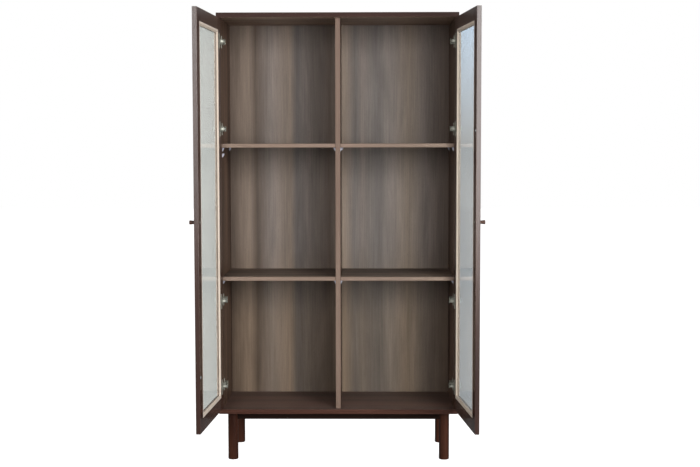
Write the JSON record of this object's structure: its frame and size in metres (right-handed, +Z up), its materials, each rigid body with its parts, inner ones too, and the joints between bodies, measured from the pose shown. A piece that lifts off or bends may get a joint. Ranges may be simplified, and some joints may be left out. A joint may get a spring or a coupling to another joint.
{
  "type": "china cabinet with glass doors",
  "caption": "Tall two-bay display cabinet on a leg frame, with adjustable shelves and two glazed doors on concealed hinges, shown open.",
  "frame": {"origin": "on the floor, in the plane halfway between the two sides, and halfway between the free edges of the open doors and the rear edges of the carcass, so 40 mm in front of the front edges of the top and bottom panels", "axes": "+X to the viewer's right, +Y from the doors to the back, +Z up"},
  "size_m": [1.1257, 0.8794, 1.87],
  "materials": {
    "carcass_board": "grey-brown walnut veneer board, satin",
    "dark_wood": "solid wood, dark red-brown stain under satin lacquer",
    "nickel": "satin nickel plate",
    "clear_glass": "clear float glass, 4 mm",
    "glazing_bead": "cream plastic, satin",
    "clear_bumper": "pale translucent rubber"
  },
  "bodies": {
    "cabinet": {"left_side": "carcass_board", "right_side": "carcass_board", "back_panel": "carcass_board", "centre_partition": "carcass_board", "lower_left_shelf": "carcass_board", "lower_right_shelf": "carcass_board", "upper_left_shelf": "carcass_board", "upper_right_shelf": "carcass_board", "top_panel": "dark_wood", "bottom_panel": "dark_wood", "front_left_leg": "dark_wood", "front_right_leg": "dark_wood", "back_left_leg": "dark_wood", "back_right_leg": "dark_wood", "front_apron": "dark_wood", "back_apron": "dark_wood", "left_apron": "dark_wood", "right_apron": "dark_wood", "upper_left_outer_front_shelf_pin": "nickel", "upper_left_outer_back_shelf_pin": "nickel", "upper_left_inner_front_shelf_pin": "nickel", "upper_left_inner_back_shelf_pin": "nickel", "upper_right_outer_front_shelf_pin": "nickel", "upper_right_outer_back_shelf_pin": "nickel", "upper_right_inner_front_shelf_pin": "nickel", "upper_right_inner_back_shelf_pin": "nickel", "left_hinge_arm_1": "nickel", "left_hinge_arm_2": "nickel", "left_hinge_arm_3": "nickel", "left_hinge_arm_4": "nickel", "right_hinge_arm_1": "nickel", "right_hinge_arm_2": "nickel", "right_hinge_arm_3": "nickel", "right_hinge_arm_4": "nickel"},
    "left_door": {"left_door_hinge_stile": "dark_wood", "left_door_closing_stile": "dark_wood", "left_door_bottom_rail": "dark_wood", "left_door_top_rail": "dark_wood", "left_door_glass": "clear_glass", "left_door_glazing_bead": "glazing_bead", "left_door_knob": "dark_wood", "left_door_knob_screw": "nickel", "left_door_bumper": "clear_bumper", "left_hinge_cup_1": "nickel", "left_hinge_cup_2": "nickel", "left_hinge_cup_3": "nickel", "left_hinge_cup_4": "nickel"},
    "right_door": {"right_door_hinge_stile": "dark_wood", "right_door_closing_stile": "dark_wood", "right_door_bottom_rail": "dark_wood", "right_door_top_rail": "dark_wood", "right_door_glass": "clear_glass", "right_door_glazing_bead": "glazing_bead", "right_door_knob": "dark_wood", "right_door_knob_screw": "nickel", "right_door_bumper": "clear_bumper", "right_hinge_cup_1": "nickel", "right_hinge_cup_2": "nickel", "right_hinge_cup_3": "nickel", "right_hinge_cup_4": "nickel"}
  },
  "joints": [
    {"name": "left_door_hinge", "type": "hinge", "parent": "cabinet", "child": "left_door", "pos_m": [-0.4915, 0.05, 1.035], "axis": [0, 0, 1], "range_deg": [-11, 94]},
    {"name": "right_door_hinge", "type": "hinge", "parent": "cabinet", "child": "right_door", "pos_m": [0.4915, 0.05, 1.035], "axis": [0, 0, -1], "range_deg": [-9.4, 95.6]}
  ]
}
